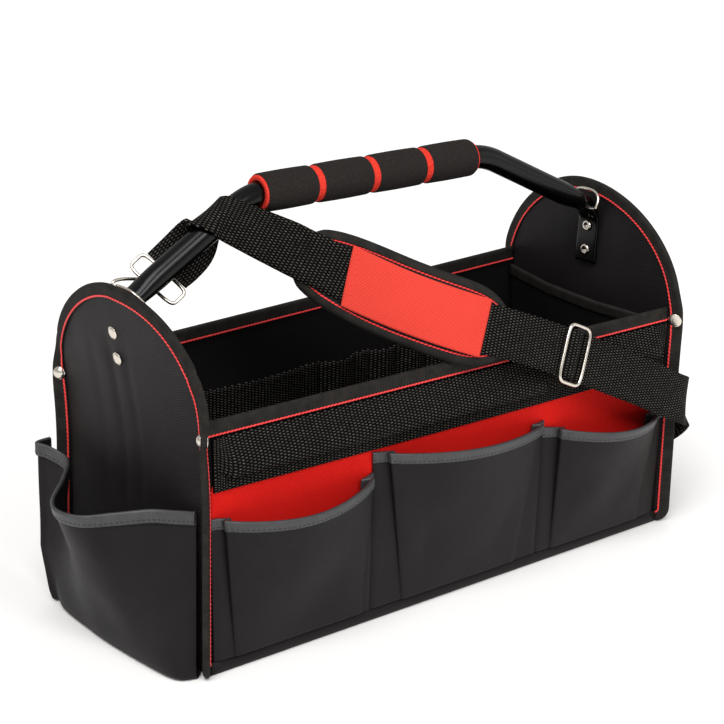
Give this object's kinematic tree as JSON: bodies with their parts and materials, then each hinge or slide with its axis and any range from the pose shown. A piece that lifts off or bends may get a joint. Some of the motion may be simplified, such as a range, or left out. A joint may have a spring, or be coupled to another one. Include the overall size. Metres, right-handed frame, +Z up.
{
  "type": "tool bag",
  "caption": "Open-topped fabric tool bag with a tube carrying handle, outside and inside pockets, tool loops and a padded shoulder strap.",
  "frame": {"origin": "middle of the underside of the base, where the bag stands", "axes": "+X along the length to the bag's right end, -Y out of the front with its pockets, +Z up"},
  "size_m": [0.5416, 0.222, 0.3324],
  "materials": {
    "black_polyester": "matt woven polyester",
    "red_polyester": "matt red woven polyester",
    "black_binding": "ribbed black edge tape with red stitching",
    "grey_binding": "folded grey edge tape",
    "black_webbing": "ribbed webbing",
    "black_paint": "glossy black paint on steel tube",
    "black_foam": "matt closed-cell foam",
    "red_foam": "matt red foam",
    "nickel": "bright nickel plate"
  },
  "bodies": {
    "root": {"base_panel": "black_polyester", "front_wall": "black_polyester", "back_wall": "black_polyester", "left_end_panel": "black_polyester", "right_end_panel": "black_polyester", "left_inner_pocket": "black_polyester", "right_inner_pocket": "black_polyester", "front_pocket_left": "black_polyester", "front_pocket_middle": "black_polyester", "front_pocket_right": "black_polyester", "left_end_pocket": "black_polyester", "strap_pad": "black_polyester", "front_red_panel": "red_polyester", "strap_pad_patch": "red_polyester", "front_top_binding": "black_binding", "back_top_binding": "black_binding", "left_end_binding": "black_binding", "right_end_binding": "black_binding", "left_inner_pocket_binding": "black_binding", "right_inner_pocket_binding": "black_binding", "front_pocket_left_binding": "grey_binding", "front_pocket_middle_binding": "grey_binding", "front_pocket_right_binding": "grey_binding", "left_end_pocket_binding": "grey_binding", "front_web_band": "black_webbing", "inner_loop_strip": "black_webbing", "shoulder_strap": "black_webbing", "handle_tube": "black_paint", "grip_sleeve_1": "black_foam", "grip_sleeve_2": "black_foam", "grip_sleeve_3": "black_foam", "grip_sleeve_4": "black_foam", "grip_core": "red_foam", "d_ring_left": "nickel", "d_ring_right": "nickel", "handle_rivet_left_lower": "nickel", "handle_rivet_left_upper": "nickel", "handle_rivet_right_lower": "nickel", "handle_rivet_right_upper": "nickel", "corner_rivet_left_front": "nickel", "corner_rivet_left_back": "nickel", "corner_rivet_right_front": "nickel", "corner_rivet_right_back": "nickel", "strap_slider": "nickel", "strap_ring_left": "nickel", "strap_ring_right": "nickel", "strap_hook_left": "nickel", "strap_hook_right": "nickel"}
  },
  "joints": []
}
